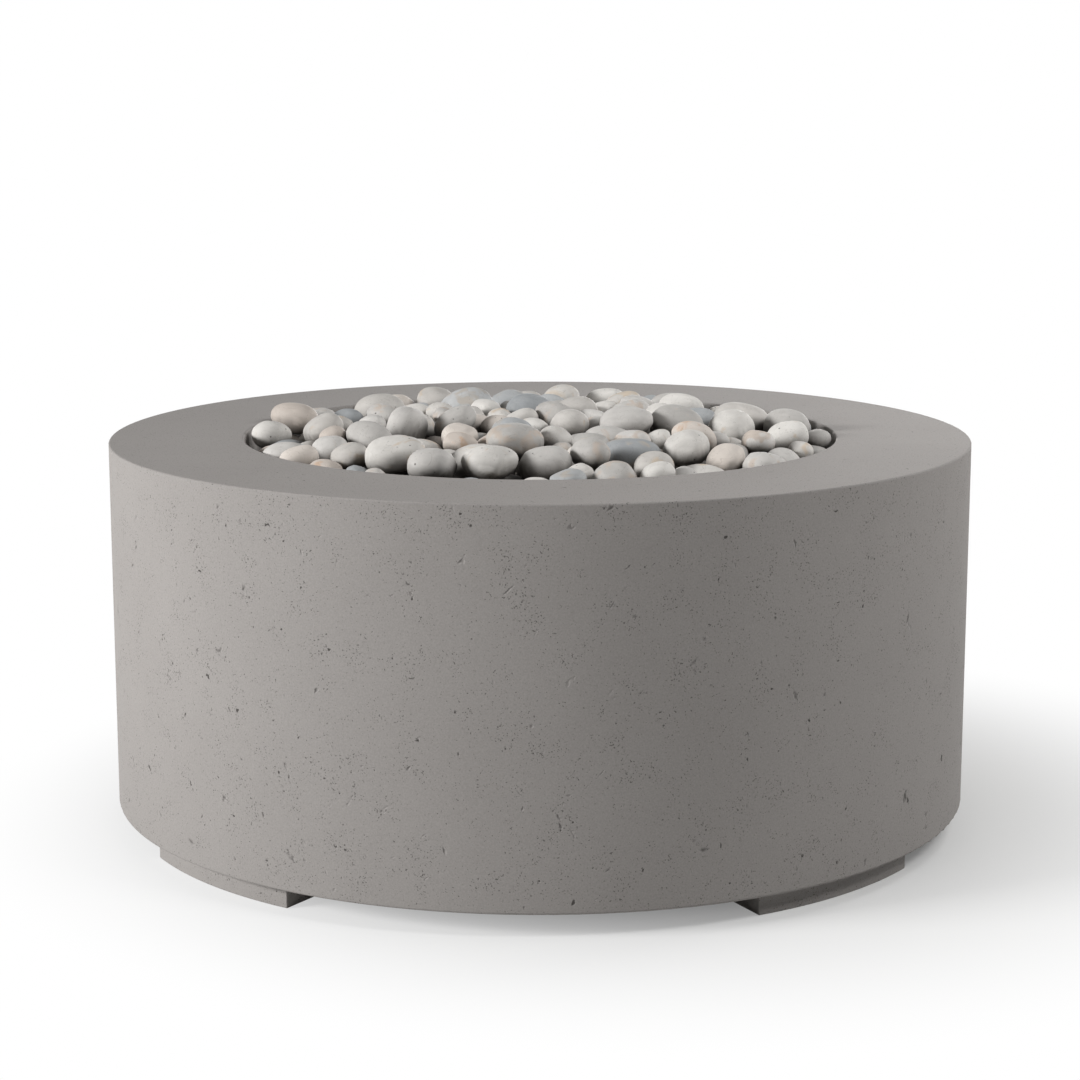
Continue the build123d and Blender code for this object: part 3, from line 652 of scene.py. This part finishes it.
# Each tint has a pale tone, a deep tone, an iron stain and dark grains.
STONE = {
    Tint.CREAM: RiverStone("river_stone_cream", "#D6D3CE", "#BAB6B1", "#C3B29D", "#7D776F"),
    Tint.PALE_GREY: RiverStone("river_stone_pale_grey", "#CDCAC6", "#ADAAA6", "#BBADA0", "#75706B"),
    Tint.BLUE_GREY: RiverStone("river_stone_blue_grey", "#B7B8B8", "#95989A", "#ADA499", "#686766"),
    Tint.TAN: RiverStone("river_stone_tan", "#CFC7BF", "#B8AEA5", "#BFA38B", "#7B6E63"),
}


@dataclass(frozen=True)
class Surface:
    """A mesh as arrays: points, and the four corners of each face."""

    points: np.ndarray
    quads: np.ndarray

    def to_object(self, name: str) -> bpy.types.Object:
        """Puts the arrays into a smooth mesh object at the origin.

        Args:
            name: The piece's name.

        Returns:
            The object, in the scene.
        """
        mesh = bpy.data.meshes.new(name)
        mesh.vertices.add(len(self.points))
        mesh.vertices.foreach_set("co", self.points.astype(np.float32).ravel())
        mesh.loops.add(self.quads.size)
        mesh.loops.foreach_set("vertex_index", self.quads.astype(np.int32).ravel())
        mesh.polygons.add(len(self.quads))
        mesh.polygons.foreach_set("loop_start", np.arange(0, self.quads.size, 4, dtype=np.int32))
        mesh.polygons.foreach_set("use_smooth", np.ones(len(self.quads), bool))
        mesh.update(calc_edges=True)
        mesh.validate()
        piece = bpy.data.objects.new(name, mesh)
        bpy.context.scene.collection.objects.link(piece)
        return piece


def cube_sphere(steps: int, keys_a_unit: float = 1e6) -> Surface:
    """Covers the unit sphere with six grids.

    Each face of a cube is a grid of two parameters in equal angles, pushed out to the sphere by
    dividing each point by its length. Points that two faces share are made one.

    Args:
        steps: The quads along an edge of the cube.
        keys_a_unit: How finely points are told apart, as steps in a unit of length.

    Returns:
        The closed sphere, with its faces outwards.
    """
    line = np.tan(np.linspace(-math.pi / 4, math.pi / 4, steps + 1))
    across, up = np.meshgrid(line, line, indexing="ij")
    one = np.ones_like(across)
    sides = []
    for axis in range(3):
        for sign in (1.0, -1.0):
            columns = np.array([one * sign, across * sign, up])
            sides.append(np.stack(np.roll(columns, axis, axis=0), axis=-1).reshape(-1, 3))
    points = np.concatenate(sides)
    cell = np.arange(steps * (steps + 1)).reshape(steps, steps + 1)[:, :steps].ravel()
    corners = np.stack([cell, cell + steps + 1, cell + steps + 2, cell + 1], axis=1)
    quads = np.concatenate([corners + side * (steps + 1) ** 2 for side in range(len(sides))])
    keys = np.round(points * keys_a_unit).astype(np.int64)
    _, first, merged = np.unique(keys, axis=0, return_index=True, return_inverse=True)
    points = points[first] / np.linalg.norm(points[first], axis=1, keepdims=True)
    return Surface(points, merged.reshape(-1)[quads])


class Dressed:
    """A sub-assembly whose solids keep their shape and take a finish each."""

    def finishes(self) -> dict[str, Finish]:
        """Gives the finish of each node."""
        raise NotImplementedError

    def dress(self) -> None:
        """Puts each node in its finish, in place of its plain colour."""
        for node, finish in self.finishes().items():
            material = finish.material()
            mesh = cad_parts[node].data
            mesh.materials.clear()
            mesh.materials.append(material)
            log.info("dressed %s in %s", node, material.name)


@dataclass
class ConcreteShell(Dressed):
    """The cast drum and its four arc feet, with the screws and cast-in sleeves that hold them."""

    cast: tuple[str, ...] = (
        "concrete_drum", "foot_front_left", "foot_front_right", "foot_rear_left", "foot_rear_right",
    )

    def finishes(self) -> dict[str, Finish]:
        """Gives the castings one bare concrete, and the fasteners their metals."""
        return dict.fromkeys(self.cast, CONCRETE) | {"foot_screws": SCREW, "foot_sleeves": SLEEVE}


@dataclass
class Burner(Dressed):
    """The pan with the ring burner that is strapped to it."""

    pressed: tuple[str, ...] = ("burner_pan", "burner_saddles")
    drawn: tuple[str, ...] = ("burner_outer_ring", "burner_inner_ring", "burner_cross_tubes", "burner_hub")

    def finishes(self) -> dict[str, Finish]:
        """Gives the pan and straps a brushed sheet, and the rings and feeds a drawn tube."""
        plain = dict.fromkeys(self.pressed, SHEET) | dict.fromkeys(self.drawn, TUBE)
        return plain | {"saddle_screws": SCREW}


@dataclass
class PipeRun(Dressed):
    """The fittings between the pan and the valve: nipple, lock nut, air mixer, jet and union."""

    iron: tuple[str, ...] = ("burner_nipple", "pan_lock_nut", "union_tail", "union_seat", "union_nut")
    turned: tuple[str, ...] = ("air_mixer", "gas_injector")

    def finishes(self) -> dict[str, Finish]:
        """Gives the pipe fittings zinc, and the mixer and jet brass."""
        return dict.fromkeys(self.iron, ZINC) | dict.fromkeys(self.turned, BRASS)


@dataclass
class ShutoffValve(Dressed):
    """The quarter-turn valve with its lever, and the nipple that takes the gas supply."""

    turned: tuple[str, ...] = ("valve_body", "valve_adapter", "valve_stem", "packing_nut", "inlet_nipple")

    def finishes(self) -> dict[str, Finish]:
        """Gives the body brass, and the pieces that turn or seal their own finishes.

        Returns:
            The finish of each node.
        """
        inside = {"valve_ball": CHROME, "valve_seats": SEAT}
        lever = {"valve_lever": SHEET, "lever_nut": SCREW, "lever_grip": VINYL}
        return dict.fromkeys(self.turned, BRASS) | inside | lever


@dataclass
class Pebbles:
    """One tint of the river stones, rebuilt over the egg solids of its node."""

    tint: Tint
    seed: int
    ball: Surface
    # A stone is this share smaller than its egg, and its lumps stand out or in by this share of it.
    shrink_share: float = 0.03
    lump_share: float = 0.045
    wave_count: int = 7
    wave_pace: float = 1.7
    # The power of the norm that squares a stone: two leaves it round.
    boxy: Range = (1.95, 2.45)
    # Flats lie this far out, as a share of the stone, and keep this part of what stood over them.
    flat_count: int = 5
    flat_reach: Range = (0.84, 1.0)
    flat_keep: float = 0.35
    # Each stone's finish comes from a place of its own in a block of patterns this many metres wide.
    pattern_spread: float = 5.0
    # Corners nearer than this are one point.
    merge: float = 0.02 * MM
    # The widest ring of an egg is what reaches this share of its greatest girth.
    ring_share: float = 0.998
    # What shape() works out: the points, where each lies in the block of patterns, and each stone's lots.
    points: np.ndarray = field(init=False)
    places: np.ndarray = field(init=False)
    lots: dict[Share, np.ndarray] = field(init=False)

    @property
    def node(self) -> str:
        """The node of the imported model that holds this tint."""
        return "stones_" + self.tint.value

    def eggs(self) -> list[np.ndarray]:
        """Finds the stones in the node's mesh: triangles that share corners are one stone.

        Returns:
            The corners of each stone's triangles.
        """
        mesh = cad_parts[self.node].data
        points = np.empty(len(mesh.vertices) * 3, np.float32)
        mesh.vertices.foreach_get("co", points)
        points = points.reshape(-1, 3).astype(float)
        corners = np.empty(len(mesh.loops), np.int32)
        mesh.loops.foreach_get("vertex_index", corners)
        keys = np.round(points / self.merge).astype(np.int64)
        _, merged = np.unique(keys, axis=0, return_inverse=True)
        triangles = merged.reshape(-1)[corners].reshape(-1, 3)
        # Every point takes the lowest number among its triangles, until each stone has one number.
        label = np.arange(merged.max() + 1)
        settled = False
        while not settled:
            before = label.copy()
            np.minimum.at(label, triangles.ravel(), np.repeat(label[triangles].min(axis=1), 3))
            label = label[label]
            settled = np.array_equal(before, label)
        owner = label[triangles[:, 0]]
        places = points[corners].reshape(-1, 3, 3)
        return [places[owner == name] for name in np.unique(owner)]

    def measure(self, triangles: np.ndarray) -> tuple[np.ndarray, np.ndarray, np.ndarray]:
        """Measures an egg: its axes are those of its surface's spread, longest first.

        Args:
            triangles: The corners of the stone's triangles.

        Returns:
            The middle of its widest ring, its axes as columns, and its nose, tail, half width and half
            thickness.
        """
        middles = triangles.mean(axis=1)
        sides = np.cross(triangles[:, 1] - triangles[:, 0], triangles[:, 2] - triangles[:, 0])
        areas = np.linalg.norm(sides, axis=1)
        centre = (middles * areas[:, None]).sum(axis=0) / areas.sum()
        spread = (middles - centre).T @ ((middles - centre) * areas[:, None])
        axes = np.linalg.eigh(spread)[1][:, ::-1].copy()
        axes[:, 2] *= np.sign(np.linalg.det(axes))
        local = (triangles.reshape(-1, 3) - centre) @ axes
        low, high = local.min(axis=0), local.max(axis=0)
        half = (high - low) / 2
        local -= (high + low) / 2
        girth = np.hypot(local[:, 1] / half[1], local[:, 2] / half[2])
        ring = local[girth > girth.max() * self.ring_share, 0].mean()
        middle = centre + axes @ ((high + low) / 2 + np.array([ring, 0, 0]))
        return middle, axes, np.array([half[0] - ring, half[0] + ring, half[1], half[2]])

    def worn(self, random: np.random.Generator) -> np.ndarray:
        """Works out how far a stone of size one reaches along each direction of the ball.

        The reach is one over the n-norm of the direction, with n near two, which squares the stone slightly,
        times one plus a sum of slow sine waves over the ball, for worn lumps. Beyond a height along each of
        a few random directions only part of the height is kept, which gives flats with soft edges.

        Args:
            random: Where the stone's own numbers are drawn from.

        Returns:
            The reach for each point of the ball.
        """
        ball = self.ball.points
        paces = random.normal(size=(self.wave_count, 3)) * self.wave_pace
        phases = random.random(self.wave_count) * 2 * math.pi
        lumps = np.sin(ball @ paces.T + phases).sum(axis=1)
        lumps /= np.abs(lumps).max()
        power = random.uniform(*self.boxy)
        square = (np.abs(ball) ** power).sum(axis=1) ** (-1 / power)
        reach = square * (1 - self.shrink_share + self.lump_share * lumps)
        away = random.normal(size=(self.flat_count, 3))
        away /= np.linalg.norm(away, axis=1, keepdims=True)
        level = random.uniform(*self.flat_reach, self.flat_count)
        height = (ball * reach[:, None]) @ away.T
        lowered = level + (height - level) * self.flat_keep
        kept = np.where(height > level, lowered / np.maximum(height, level), 1)
        return reach * kept.min(axis=1)

    def shape(self) -> None:
        """Works out the points of the tint's stones.

        A stone's point is its middle plus its axes times (d * size * reach), with d on the unit sphere.
        Size is nose or tail along the stone, half its width and half its thickness.
        """
        random = np.random.default_rng(self.seed)
        ball = self.ball.points
        shapes, places = [], []
        for triangles in self.eggs():
            middle, axes, (nose, tail, half_width, half_thickness) = self.measure(triangles)
            size = np.empty_like(ball)
            size[:, 0] = np.where(ball[:, 0] > 0, nose, tail)
            size[:, 1:] = half_width, half_thickness
            local = ball * size * self.worn(random)[:, None]
            shapes.append(middle + local @ axes.T)
            places.append(local + random.random(3) * self.pattern_spread)
        self.points = np.concatenate(shapes)
        self.places = np.concatenate(places)
        drawn = (Share.SHADE, Share.WARMTH, Share.POCKED)
        self.lots = {share: random.random(len(shapes)) for share in drawn}

    def build(self, sunk: np.ndarray) -> None:
        """Makes the tint's stones as one piece, which rides on the bowl in place of its node.

        Args:
            sunk: How far each point lies down among the stones round it, from none to one, which sets the
                painted shade in the gaps.
        """
        count = len(self.ball.points)
        stones = len(self.points) // count
        quads = np.concatenate([self.ball.quads + count * stone for stone in range(stones)])
        piece = Surface(self.points, quads).to_object("pebbles_" + self.tint.value)
        place = piece.data.attributes.new(STONE_PLACE, "FLOAT_VECTOR", "POINT")
        place.data.foreach_set("vector", self.places.astype(np.float32).ravel())
        shares = {share: np.repeat(lot, count) for share, lot in self.lots.items()} | {Share.SUNK: sunk}
        for share, values in shares.items():
            held = piece.data.attributes.new(share.value, "FLOAT", "POINT")
            held.data.foreach_set("value", values.astype(np.float32))
        piece.data.materials.append(STONE[self.tint].material())
        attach(piece, BOWL_BODY)
        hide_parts(self.node)
        log.info("built %s with %d stones", piece.name, stones)


@dataclass
class StoneHeap:
    """The river stones of every tint, and how deep each point lies among the others, for the painted shade
    in the gaps. Each stone is a shape of its own and fills a good part of the view, so it has more faces
    than a repeated small part would."""

    ball_steps: int = 12
    first_seed: int = 40
    # The cells, the window of them and the depth that set the painted shade in the gaps.
    cell: float = 6 * MM
    window: int = 9
    full_depth: float = 32 * MM

    def sunk(self, points: np.ndarray) -> np.ndarray:
        """Says how far down each point lies among the stones round it, which sets the painted shade in the
        gaps.

        The plan is cut into square cells, and each holds the height of the highest point in it. A point's
        share is the mean, over the window of cells round it, of how far their tops stand above the point,
        taken as none to one between no depth and the full depth.

        Args:
            points: The points of all the stones.

        Returns:
            A share for each point.
        """
        border = self.window // 2
        spot = np.round(points[:, :2] / self.cell).astype(int)
        spot -= spot.min(axis=0) - border
        tops = np.full(spot.max(axis=0) + border + 1, points[:, 2].min())
        np.maximum.at(tops, (spot[:, 0], spot[:, 1]), points[:, 2])
        around = np.lib.stride_tricks.sliding_window_view(tops, (self.window, self.window))
        above = around[spot[:, 0] - border, spot[:, 1] - border] - points[:, 2, None, None]
        return np.clip(above / self.full_depth, 0, 1).mean(axis=(1, 2))

    def build(self) -> None:
        """Shapes every tint's stones, then makes their pieces."""
        ball = cube_sphere(self.ball_steps)
        groups = [Pebbles(tint, self.first_seed + place, ball) for place, tint in enumerate(Tint)]
        for group in groups:
            group.shape()
        shares = self.sunk(np.concatenate([group.points for group in groups]))
        ends = np.cumsum([len(group.points) for group in groups])
        for group, share in zip(groups, np.split(shares, ends[:-1])):
            group.build(share)


@dataclass(frozen=True)
class Lamp:
    """A soft lamp: its middle in metres, its width and height, and its power."""

    name: str
    place: Triple
    size: Range
    watts: float

    def hang(self, aim: Triple) -> None:
        """Hangs the lamp, out of the camera's sight.

        Args:
            aim: The point that it looks at.
        """
        data = bpy.data.lights.new(self.name, "AREA")
        data.shape = "RECTANGLE"
        data.size, data.size_y = self.size
        data.energy = self.watts
        lamp = bpy.data.objects.new(self.name, data)
        lamp.visible_camera = False
        lamp.location = self.place
        lamp.rotation_euler = (Vector(aim) - Vector(self.place)).to_track_quat("-Z", "Y").to_euler()
        bpy.context.scene.collection.objects.link(lamp)


@dataclass
class Studio:
    """The camera, the lamps, the white surround and the pale floor."""

    # The camera is fitted to the photograph's rim, opening, base and feet.
    turn_deg: float = 2.6
    distance: float = 3.1395
    height: float = 0.9224
    pitch_deg: float = 10.499
    lens_mm: float = 84.265
    sensor_mm: float = 36.0
    white: str = "#FFFFFF"
    # The strength of the surround as a light. To the eye it is white, at a strength of one.
    surround: float = 0.03
    floor_size: float = 14.0
    floor_colour: str = "#D6D6D5"
    # The floor is paper about this point, to keep the shadow, and fades to white over this span of metres.
    shadow_middle: Triple = (0.15, 0.03, 0.0)
    shadow_fade: Range = (0.24, 0.9)
    aim: Triple = (0.0, 0.0, 0.3)
    # A broad key at the left, small fills at the right and a low lamp for the back.
    lamps: tuple[Lamp, ...] = (
        Lamp("key_left", (-5.2, -2.2, 2.1), (2.0, 1.2), 406.0),
        Lamp("near_right", (1.2, 0.4, 1.4), (0.5, 0.5), 7.6),
        Lamp("far_right", (3.4, 0.2, 1.8), (0.8, 0.8), 11.5),
        Lamp("high_front_right", (2.2, -1.5, 2.8), (0.8, 0.8), 52.5),
        Lamp("low_back", (0.8, 5.0, 0.6), (2.4, 0.5), 130.0),
    )

    def camera(self) -> None:
        """Sets the camera where the photograph was taken from."""
        data = bpy.data.cameras.new("camera")
        data.lens = self.lens_mm
        data.sensor_width = self.sensor_mm
        eye = bpy.data.objects.new("camera", data)
        turn = math.radians(self.turn_deg)
        eye.location = (self.distance * math.sin(turn), -self.distance * math.cos(turn), self.height)
        eye.rotation_euler = (math.radians(90 - self.pitch_deg), 0, turn)
        bpy.context.scene.collection.objects.link(eye)
        bpy.context.scene.camera = eye

    @staticmethod
    def seen(tree: Tree) -> Node:
        """Tells the rays that show a background, to the eye or in gloss, from those that only light.

        Args:
            tree: The nodes that need the test.

        Returns:
            One for a ray that shows and none for one that lights.
        """
        ray = add(tree, "LightPath").outputs
        shown = add(tree, "Math", (ray["Is Camera Ray"], ray["Is Glossy Ray"]), operation=Op.MAXIMUM)
        return add(tree, "Math", (shown, ray["Is Transmission Ray"]), operation=Op.MAXIMUM)

    def world(self) -> None:
        """Makes the surround white to the eye and in reflections, and a soft even light for the rest."""
        world = bpy.data.worlds.new("surround")
        bpy.context.scene.world = world
        world.use_nodes = True
        tree = world.node_tree
        tree.nodes.clear()
        strength = add(tree, "MapRange", (self.seen(tree), 0.0, 1.0, self.surround, 1.0))
        glow = add(tree, "Background", {"Color": linear(self.white), "Strength": strength})
        add(tree, "OutputWorld", (glow,))

    def floor(self) -> None:
        """Lays a pale floor that keeps the shadow near the bowl and fades to white far from it."""
        half = self.floor_size / 2
        corners = np.array([[-half, -half, 0], [half, -half, 0], [half, half, 0], [-half, half, 0]])
        floor = Surface(corners, np.array([[0, 1, 2, 3]])).to_object("floor")
        material, tree = new_material("paper_sweep_white")
        place = add(tree, "TexCoord").outputs["Object"]
        far = add(tree, "VectorMath", (place, self.shadow_middle), operation=Op.DISTANCE)
        fade = add(tree, "MapRange", (far, *self.shadow_fade, 0.0, 1.0), interpolation_type=Fall.SOFT)
        share = add(tree, "Math", (fade, self.seen(tree)), operation=Op.MULTIPLY)
        paper = add(tree, "BsdfDiffuse", {"Color": linear(self.floor_colour)})
        white = add(tree, "Emission", {"Color": linear(self.white), "Strength": 1.0})
        add(tree, "OutputMaterial", (add(tree, "MixShader", (share, paper, white)),))
        floor.data.materials.append(material)

    def build(self) -> None:
        """Sets up the whole studio."""
        self.camera()
        self.world()
        self.floor()
        for lamp in self.lamps:
            lamp.hang(self.aim)
        bpy.context.scene.view_settings.view_transform = "Standard"


def main() -> None:
    """Dresses and builds the sub-assemblies in order, then sets the studio."""
    logging.basicConfig(level=logging.INFO, format="%(message)s")
    for assembly in (ConcreteShell(), Burner(), PipeRun(), ShutoffValve()):
        assembly.dress()
    StoneHeap().build()
    Studio().build()


if __name__ == "__main__":
    main()
